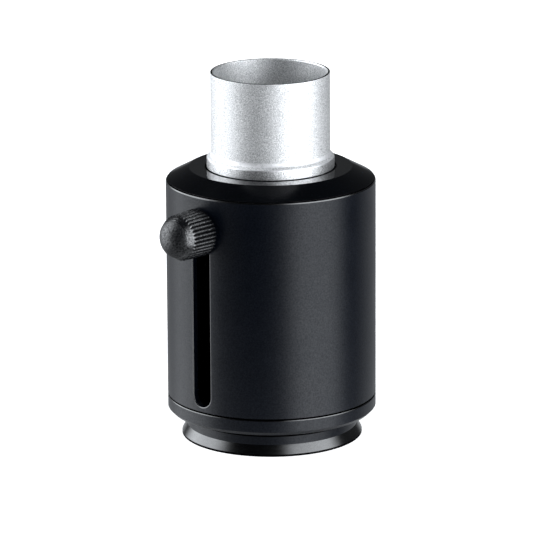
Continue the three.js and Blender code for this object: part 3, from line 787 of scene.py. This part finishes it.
turned("nose_tube", [
    corner(NOSE_BORE_R, nose_low.z, 0.1), corner(TUBE_SPIGOT_R, nose_low.z, 0.1),
    corner(TUBE_SPIGOT_R, carriage_high.z), corner(COLLAR_R, carriage_high.z, 0.1),
    corner(COLLAR_R, COLLAR_TOP, 0.55), corner(NOSE_R, COLLAR_TOP + COLLAR_R - NOSE_R, 1.4),
    corner(NOSE_R, nose_high.z - NOSE_OUTER_CHAMFER, 0.04),
    corner(NOSE_R - NOSE_OUTER_CHAMFER, nose_high.z, 0.04), corner(NOSE_RIM_R, nose_high.z, 0.04),
    corner(NOSE_BORE_R, nose_high.z - NOSE_INNER_CHAMFER, 0.08),
], [blasted_silver, turned_silver, fine_silver, bore_silver], "sliding_tube",
    pick=nose_pick)

# The carriage, its two glide bands and the ring that locks the tube into it. The insert's sizes
# come first, because the carriage's bores need them.

BAND_GROOVE_R = 25.0
CUT_START = 8.0
STUD_R = 2.0
INSERT_R, INSERT_NOSE_R = 3.6, 2.95
INSERT_START, INSERT_SHOULDER, INSERT_END = 17.0, 24.8, 27.6
seat_r = TUBE_SPIGOT_R + SCREWED_GAP


def groove(band):
    """The groove that holds a glide band, a little wider than the band."""
    low, high = box_mm(band)
    bottom, top = low.z - SCREWED_GAP, high.z + SCREWED_GAP
    return [corner(carriage_r, bottom, 0.05), corner(BAND_GROOVE_R, bottom),
            corner(BAND_GROOVE_R, top), corner(carriage_r, top, 0.05)]


turned("slide_carriage", [
    corner(lock_r + SCREWED_GAP, carriage_low.z, 0.1), corner(carriage_r, carriage_low.z, 0.15),
    *groove("glide_band_lower"), *groove("glide_band_upper"),
    corner(carriage_r, carriage_high.z, 0.15), corner(seat_r, carriage_high.z),
    corner(seat_r, lock_high.z + SCREWED_GAP),
    corner(lock_r + SCREWED_GAP, lock_high.z + SCREWED_GAP),
], [bore_black_and_rim_shade], "sliding_tube", steps=CARRIAGE_STEPS, cutters=[
    pin_cutter(INSERT_R + SCREWED_GAP, CUT_START, INSERT_SHOULDER + SCREWED_GAP),
    pin_cutter(INSERT_NOSE_R + SCREWED_GAP, CUT_START, barrel_r)])

turned("carriage_lock_ring", [
    corner(seat_r, lock_low.z, 0.1), corner(lock_r, lock_low.z, 0.15),
    corner(lock_r, lock_high.z, 0.1), corner(seat_r, lock_high.z, 0.1),
], [steel], "sliding_tube", steps=INNER_STEPS,
    cutters=[spanner_bar(lock_low.z)])

band_inner_r = BAND_GROOVE_R + SCREWED_GAP
band_outer_r = BORE_R - SLIDE_CLEARANCE
BAND_SPLIT = (1.0, 6.0, 4.0)
for band in ("glide_band_upper", "glide_band_lower"):
    low, high = box_mm(band)
    turned(band, [
        corner(band_inner_r, low.z, 0.1), corner(band_outer_r, low.z, 0.15),
        corner(band_outer_r, high.z, 0.15), corner(band_inner_r, high.z, 0.1),
    ], [ptfe], "sliding_tube", steps=CARRIAGE_STEPS,
        cutters=[bar((0, BORE_R, (low.z + high.z) / 2), BAND_SPLIT)])

# The baffle inside the tube, thinned towards its opening.

BAFFLE_SLOPE_R, BAFFLE_OPENING_R, BAFFLE_EDGE = 13.2, 12.5, 0.3
baffle_r = NOSE_BORE_R - SCREWED_GAP
baffle_low, baffle_high = box_mm("tube_baffle")
turned("tube_baffle", [
    corner(BAFFLE_SLOPE_R, baffle_low.z, 0.05), corner(baffle_r, baffle_low.z, 0.1),
    corner(baffle_r, baffle_high.z, 0.1), corner(BAFFLE_OPENING_R, baffle_high.z, 0.05),
    corner(BAFFLE_OPENING_R, baffle_high.z - BAFFLE_EDGE, 0.05),
], [bore_black_and_rim_shade], "sliding_tube", steps=INNER_STEPS)

# The threaded insert, whose nose runs in the slot.

insert_bore_r = STUD_R + SLIDE_CLEARANCE
insert_bm = revolve(rounded([
    corner(insert_bore_r, INSERT_START, 0.2), corner(INSERT_R, INSERT_START, 0.2),
    corner(INSERT_R, INSERT_SHOULDER, 0.1), corner(INSERT_NOSE_R, INSERT_SHOULDER),
    corner(INSERT_NOSE_R, INSERT_END, 0.15), corner(insert_bore_r, INSERT_END, 0.15),
], True), True, knob_place, PIN_STEPS)
finish_mesh("stud_insert", insert_bm, [brass], "sliding_tube")

# ------------------------------
# Clamp washer and stud

SADDLE_R = 28.05
SADDLE_ROWS = 8
WASHER_R, WASHER_GAP = 4.5, 0.08
washer_bore_r = STUD_R + WASHER_GAP
washer_top = AXIS_Y - box_mm("clamp_washer")[0].y


def saddle(point, turn):
    """Hollows the washer's inner face to sit on the barrel."""
    if point["tag"] != "saddle":
        return point["r"], point["s"]
    x = point["r"] * math.sin(turn)
    return point["r"], math.sqrt(SADDLE_R ** 2 - x * x)


washer_radii = [washer_bore_r + (WASHER_R - washer_bore_r) * k / SADDLE_ROWS
                for k in range(SADDLE_ROWS + 1)]
washer_profile = [corner(r, SADDLE_R, tag="saddle") for r in washer_radii]
washer_profile += [corner(WASHER_R, washer_top, 0.15), corner(washer_bore_r, washer_top)]
washer_bm = revolve(rounded(washer_profile, False), True, knob_place, WASHER_STEPS, saddle)
finish_mesh("clamp_washer", washer_bm, [nylon], "saddle_washer")

STUD_PITCH, STUD_ROOT = 0.7, 1.62
STUD_TIP, STUD_TIP_CHAMFER = 18.5, 0.4
STUD_HEAD_R, STUD_HEAD_START, STUD_HEAD_END = 3.0, 31.3, 35.4
THREAD_START, THREAD_END, THREAD_ROWS = STUD_TIP + STUD_TIP_CHAMFER, 31.0, 110
THREAD_FADE, THREAD_SLOPE, THREAD_END_GAP = 0.5, 1.15, 0.1


def thread(point, turn):
    """Cuts a right-hand thread into the stud's shaft, which fades out at both ends."""
    if point["tag"] != "thread":
        return point["r"], point["s"]
    phase = (point["s"] / STUD_PITCH + turn / math.tau) % 1.0
    depth = max(0.0, 1.0 - abs(2 * phase - 1.0) * THREAD_SLOPE)
    ends = (point["s"] - THREAD_START, THREAD_END - point["s"])
    fade = max(0.0, min(1.0, min(ends) / THREAD_FADE))
    return point["r"] - (STUD_R - STUD_ROOT) * depth * fade, point["s"]


stud_points = rounded([
    corner(0, STUD_TIP), corner(STUD_R - STUD_TIP_CHAMFER, STUD_TIP, 0.05),
    corner(STUD_R, THREAD_START)], False)
thread_reaches = [THREAD_START + (THREAD_END - THREAD_START) * k / THREAD_ROWS
                  for k in range(1, THREAD_ROWS + 1)]
stud_points += [{"r": STUD_R, "s": reach, "edge": 0.0, "tag": "thread"}
                for reach in thread_reaches]
stud_points += rounded([
    corner(STUD_R, THREAD_END + THREAD_END_GAP), corner(STUD_R, STUD_HEAD_START),
    corner(STUD_HEAD_R, STUD_HEAD_START, 0.15), corner(STUD_HEAD_R, STUD_HEAD_END, 0.15),
    corner(0, STUD_HEAD_END)], False)
stud_bm = revolve(stud_points, False, knob_place, STUD_STEPS, thread)
finish_mesh("clamp_stud", stud_bm, [steel], "knob")

# ------------------------------
# Clamp knob

knob_low, knob_high = box_mm("clamp_knob")
KNOB_BACK = AXIS_Y - knob_high.y
KNOB_TIP = AXIS_Y - knob_low.y
KNOB_BACK_R = radius_mm("clamp_knob")
KNOB_BACK_INNER_R = 5.6
KNOB_R = 6.11
TAPER_END = 35.45
KNURL_START, KNURL_END = KNOB_BACK + 0.2, 36.75
KNURL_LENGTH = KNURL_END - KNURL_START
RIDGES = 34
RIDGE_DEPTH = 0.49
RUN_IN, RUN_OUT = 0.25, 0.6
RUN_IN_ROWS = (0.0, 0.06, 0.13, 0.2, 0.27)
RUN_OUT_ROWS = (0.5, 0.4, 0.3, 0.2, 0.1, 0.0)
PLAIN_ROWS, PLAIN_LENGTH = 8, KNURL_LENGTH - 0.9
GROOVE_RISE, GROOVE_RISE_SHARE = 0.18, 0.1
SHOULDER_R = KNOB_R - RIDGE_DEPTH + GROOVE_RISE
SHOULDER_DRAFT, SHOULDER_LENGTH = 0.12, 0.3
DOME_R, DOME_STEPS = 6.3, 28
DOME_EDGE_R, DOME_EDGE = 5.15, 37.95
DOME_START_R = DOME_EDGE_R - 0.2
DOME_LEAD_IN, DOME_LEAD_OUT = 0.4, 0.42
LOOK_MARGIN = 0.3


def knurl_radius(reach):
    """The knob narrows evenly from the barrel to the end of its taper."""
    share = min(1.0, (reach - KNOB_BACK) / (TAPER_END - KNOB_BACK))
    return KNOB_BACK_R + (KNOB_R - KNOB_BACK_R) * share


def ridges(point, turn):
    """Raises rounded ridges, which run out at both ends of the knurl."""
    if point["tag"] != "knurl":
        return point["r"], point["s"]
    across = abs(((turn * RIDGES / math.tau) % 1.0) * 2 - 1)
    ridge = 1.0 - across ** 2
    run_in = min(1.0, (point["s"] - KNURL_START) / RUN_IN)
    run_out = min(1.0, (KNURL_END - point["s"]) / RUN_OUT)
    level = math.sin(max(0.0, min(run_in, run_out)) * math.pi / 2)
    return point["r"] + (knurl_radius(point["s"]) - point["r"]) * ridge * level, point["s"]


def knurl_rows():
    """Rows of the grooves' floor, which rises towards the dome over its last part."""
    rows = list(RUN_IN_ROWS)
    rows += [RUN_IN_ROWS[-1] + PLAIN_LENGTH * k / PLAIN_ROWS for k in range(1, PLAIN_ROWS + 1)]
    rows += [KNURL_LENGTH - back for back in RUN_OUT_ROWS]
    points = []
    for row in rows:
        past = max(0.0, row / KNURL_LENGTH - (1 - GROOVE_RISE_SHARE)) / GROOVE_RISE_SHARE
        floor = knurl_radius(KNURL_START + row) - RIDGE_DEPTH + GROOVE_RISE * past
        points.append({"r": floor, "s": KNURL_START + row, "edge": 0.0, "tag": "knurl"})
    return points


def dome_points():
    """The domed end, from its edge to the tip."""
    first = math.asin(DOME_START_R / DOME_R)
    points = []
    for k in range(DOME_STEPS):
        angle = first * (1 - k / DOME_STEPS)
        reach = KNOB_TIP - DOME_R + DOME_R * math.cos(angle)
        points.append(corner(DOME_R * math.sin(angle), reach))
    return rounded([*points, corner(0.0, KNOB_TIP)], False)


washer_seat = washer_top + SCREWED_GAP
washer_pocket_r = WASHER_R + WASHER_GAP
head_bore_r = STUD_HEAD_R + SCREWED_GAP
knob_profile = rounded([
    corner(0, STUD_HEAD_END + SCREWED_GAP), corner(head_bore_r, STUD_HEAD_END + SCREWED_GAP),
    corner(head_bore_r, STUD_HEAD_START - SCREWED_GAP),
    corner(STUD_R + SCREWED_GAP, STUD_HEAD_START - SCREWED_GAP),
    corner(STUD_R + SCREWED_GAP, washer_seat, 0.1), corner(washer_pocket_r, washer_seat),
    corner(washer_pocket_r, KNOB_BACK, 0.15), corner(KNOB_BACK_INNER_R, KNOB_BACK, 0.1),
], False)
knob_profile += knurl_rows()
knob_profile += rounded([
    corner(SHOULDER_R, KNURL_END),
    corner(SHOULDER_R - SHOULDER_DRAFT, KNURL_END + SHOULDER_LENGTH, 0.2),
    corner(DOME_EDGE_R, DOME_EDGE, 0.12),
    corner(DOME_EDGE_R - DOME_LEAD_IN, DOME_EDGE + DOME_LEAD_OUT),
], False)[1:-1]
knob_profile += dome_points()


def knob_pick(centre, normal):
    """Darker and duller in the bottoms of the knurl's grooves as painted shade, satin on the dome.
    """
    reach = AXIS_Y - centre.y
    if reach > DOME_EDGE + LOOK_MARGIN:
        return 2
    radius = math.hypot(centre.x, centre.z - SCREW_Z)
    in_knurl = KNURL_START < reach < KNURL_END - LOOK_MARGIN
    return 1 if in_knurl and radius < knurl_radius(reach) - RIDGE_DEPTH / 2 else 0


knob_bm = revolve(knob_profile, False, knob_place, RIDGES * RIDGE_STEPS, ridges)
finish_mesh("clamp_knob", knob_bm, [moulded_black, groove_shade_black, dome_black], "knob",
            knob_pick)

# ------------------------------
# Floor, light and camera

VIEW_AZIMUTH = math.radians(41.7)
VIEW_ELEVATION = math.radians(15.11)
toward = Vector((math.sin(VIEW_AZIMUTH), -math.cos(VIEW_AZIMUTH), 0.0))
right = Vector((math.cos(VIEW_AZIMUTH), math.sin(VIEW_AZIMUTH), 0.0))

# The floor is lit by the studio and by a glow of its own that only the camera sees. In the
# object's mirror rays it is clear, because the studio below already stands for it, apart from
# a faint painted glow, standing in for the lit floor's reflection, that starts at the foot's
# rim and fades away from it and round to the back.
FLOOR_SIZE = 4.0
FLOOR_GLOW = 0.72
MIRRORED_GLOW = 0.75
MIRRORED_REACH = 0.09
MIRRORED_FRONT = (-0.9, 0.7)
LIGHT_TINT = (0.962, 1.0, 1.045, 1.0)
WHITE = (1.0, 1.0, 1.0, 1.0)


def make_floor():
    """A pale floor. MIRRORED_FRONT is the rise of its mirrored glow, as a cosine from the view."""
    bm = bmesh.new()
    bmesh.ops.create_grid(bm, x_segments=8, y_segments=8, size=FLOOR_SIZE)
    mesh = bpy.data.meshes.new("floor")
    bm.to_mesh(mesh)
    bm.free()
    floor = bpy.data.objects.new("floor", mesh)
    bpy.context.scene.collection.objects.link(floor)
    material = bpy.data.materials.new("pale_floor")
    n = Nodes(material)
    coords = n.add("ShaderNodeTexCoord").outputs["Object"]
    mottle = n.noise(coords, per_mm=0.01)
    colour = n.mix(mottle, (0.80, 0.80, 0.80), (0.82, 0.82, 0.82))
    paint = n.add("ShaderNodeBsdfDiffuse", {"Color": colour})
    path = n.add("ShaderNodeLightPath")
    glow = n.add("ShaderNodeEmission", {
        "Color": WHITE,
        "Strength": n.math("MULTIPLY", path.outputs["Is Camera Ray"], FLOOR_GLOW)})
    seen = n.add("ShaderNodeAddShader", {0: paint.outputs[0], 1: glow.outputs[0]})
    parts = n.add("ShaderNodeSeparateXYZ", {0: coords})
    away = n.add("ShaderNodeCombineXYZ", {
        0: parts.outputs[0], 1: n.math("SUBTRACT", parts.outputs[1], AXIS_Y * MM)})
    distance = n.add("ShaderNodeVectorMath", {0: away.outputs[0]}, operation="LENGTH")
    near = n.math("EXPONENT", n.math("MULTIPLY", distance.outputs["Value"], -1 / MIRRORED_REACH))
    beside = n.math("GREATER_THAN", distance.outputs["Value"], foot_r * MM)
    front = n.add("ShaderNodeVectorMath", {0: away.outputs[0], 1: toward}, operation="DOT_PRODUCT")
    front = n.math("DIVIDE", front.outputs["Value"], distance.outputs["Value"])
    near = n.math("MULTIPLY", n.math("MULTIPLY", near, beside), n.ramp(front, *MIRRORED_FRONT))
    # Painted light: a glow seen only in mirror rays, as the lit floor's reflection near the foot.
    painted_floor_glow = n.add("ShaderNodeEmission", {
        "Color": LIGHT_TINT, "Strength": n.math("MULTIPLY", near, MIRRORED_GLOW)})
    clear = n.add("ShaderNodeBsdfTransparent")
    mirrored = n.add("ShaderNodeAddShader", {0: clear.outputs[0], 1: painted_floor_glow.outputs[0]})
    both = n.add("ShaderNodeMixShader", {0: path.outputs["Is Glossy Ray"], 1: seen.outputs[0],
                                         2: mirrored.outputs[0]})
    n.add("ShaderNodeOutputMaterial", {"Surface": both.outputs[0]})
    mesh.materials.append(material)


make_floor()

# Soft boxes round the object, as seen from it, in degrees. Azimuth 0 is towards the photographer
# and positive to the right. An edge is (degrees, softness). In the floor's reflection a box is
# weaker, by the two shares of "floor" at its first and last edge. "lean" is how far the last edge
# moves right with each degree above the elevation that upright walls mirror, up to LEAN_TOP.
SOFT_BOXES = [
    {"first": (-134, 13), "last": (-74, 14), "high": (56, 7), "strength": 3.9,
     "floor": (0.25, 0.85), "lean": 0.0},
    {"first": (24, 14), "last": (79, 14), "high": (47, 19), "strength": 4.2,
     "floor": (0.92, 0.72), "lean": 0.35},
    {"first": (-120, 10), "last": (-46, 24), "high": (18, 10), "strength": 0.35,
     "floor": (1.0, 1.0), "lean": 0.0},
    {"first": (8, 18), "last": (79, 14), "high": (18, 10), "strength": 0.6,
     "floor": (1.0, 1.0), "lean": 0.0},
]
WALL_MIRRORS, LEAN_TOP = -15, 40

# Edges: the boxes' undersides, the floor's reflection, the light from behind, and straight below.
BOXES_LOW, HORIZON, BACK_FROM, UNDER_FLOOR = (-30, 10), (-3, 5), (112, 14), (-38, 10)
AMBIENT = 0.012
BACK_AMBIENT = 0.05
BACK_BELOW_HORIZON = 0.33
UNDERNEATH = 0.03
SAMPLE_MAP_SIZE = 1024


def make_world():
    """A studio that lights the object and the floor. The camera sees plain white."""
    world = bpy.data.worlds.new("studio")
    bpy.context.scene.world = world
    n = Nodes(world)
    direction = n.add("ShaderNodeTexCoord").outputs["Generated"]

    def along(vector):
        return n.add("ShaderNodeVectorMath", {0: direction, 1: vector},
                     operation="DOT_PRODUCT").outputs["Value"]

    azimuth = n.math("DEGREES", n.math("ARCTAN2", along(right), along(toward)))
    elevation = n.math("DEGREES", n.math("ARCSINE", along(Vector((0, 0, 1)))))

    def rise(value, edge):
        return n.ramp(value, edge[0] - edge[1], edge[0] + edge[1], smooth=True)

    def fall(value, edge):
        return n.ramp(value, edge[0] - edge[1], edge[0] + edge[1], 1.0, 0.0, smooth=True)

    below = fall(elevation, HORIZON)
    above_walls = n.ramp(elevation, WALL_MIRRORS, LEAN_TOP, 0.0, LEAN_TOP - WALL_MIRRORS)
    total = AMBIENT
    for box in SOFT_BOXES:
        last_at = n.math("SUBTRACT", azimuth, n.math("MULTIPLY", above_walls, box["lean"]))
        across = n.math("MULTIPLY", rise(azimuth, box["first"]), fall(last_at, box["last"]))
        up = n.math("MULTIPLY", rise(elevation, BOXES_LOW), fall(elevation, box["high"]))
        share = n.ramp(azimuth, box["first"][0], box["last"][0], *box["floor"])
        loss = n.math("MULTIPLY", n.math("SUBTRACT", 1.0, share), below)
        strength = n.math("MULTIPLY", n.math("SUBTRACT", 1.0, loss), box["strength"])
        lit = n.math("MULTIPLY", n.math("MULTIPLY", across, up), strength)
        total = n.math("ADD", lit, total)
    behind = rise(n.math("ABSOLUTE", azimuth), BACK_FROM)
    back = n.math("ADD", n.math("MULTIPLY", below, BACK_BELOW_HORIZON), BACK_AMBIENT)
    back = n.math("MULTIPLY", back, rise(elevation, UNDER_FLOOR))
    total = n.math("ADD", total, n.math("MULTIPLY", behind, back))
    total = n.math("ADD", total, n.math("MULTIPLY", fall(elevation, UNDER_FLOOR), UNDERNEATH))
    seen = n.add("ShaderNodeLightPath").outputs["Is Camera Ray"]
    studio = n.add("ShaderNodeBackground", {"Color": LIGHT_TINT, "Strength": total})
    plain = n.add("ShaderNodeBackground", {"Color": WHITE, "Strength": 1.0})
    both = n.add("ShaderNodeMixShader", {0: seen, 1: studio.outputs[0], 2: plain.outputs[0]})
    n.add("ShaderNodeOutputWorld", {"Surface": both.outputs[0]})
    world.cycles.sampling_method = "MANUAL"
    world.cycles.sample_map_resolution = SAMPLE_MAP_SIZE


make_world()

CAMERA_DISTANCE, LOOK_HEIGHT = 1.2424, 0.047
CAMERA_ROLL = math.radians(-0.327)
SENSOR_WIDTH_MM, LENS_MM = 36.0, 313.4
CAMERA_SHIFT = (-0.00878, -0.00801)
CAMERA_CLIP = (0.05, 30.0)


def make_camera():
    """A long lens from the photographer's side, in metres."""
    camera = bpy.data.cameras.new("camera")
    holder = bpy.data.objects.new("camera", camera)
    bpy.context.scene.collection.objects.link(holder)
    camera.sensor_width = SENSOR_WIDTH_MM
    camera.lens = LENS_MM
    camera.shift_x, camera.shift_y = CAMERA_SHIFT
    camera.clip_start, camera.clip_end = CAMERA_CLIP
    back = toward * math.cos(VIEW_ELEVATION) + Vector((0, 0, math.sin(VIEW_ELEVATION)))
    holder.location = Vector((0, AXIS_Y * MM, LOOK_HEIGHT)) + back * CAMERA_DISTANCE
    turn = (-back).to_track_quat("-Z", "Y").to_matrix() @ Matrix.Rotation(CAMERA_ROLL, 3, "Z")
    holder.rotation_euler = turn.to_euler()
    bpy.context.scene.camera = holder


make_camera()
bpy.context.scene.view_settings.view_transform = "Standard"
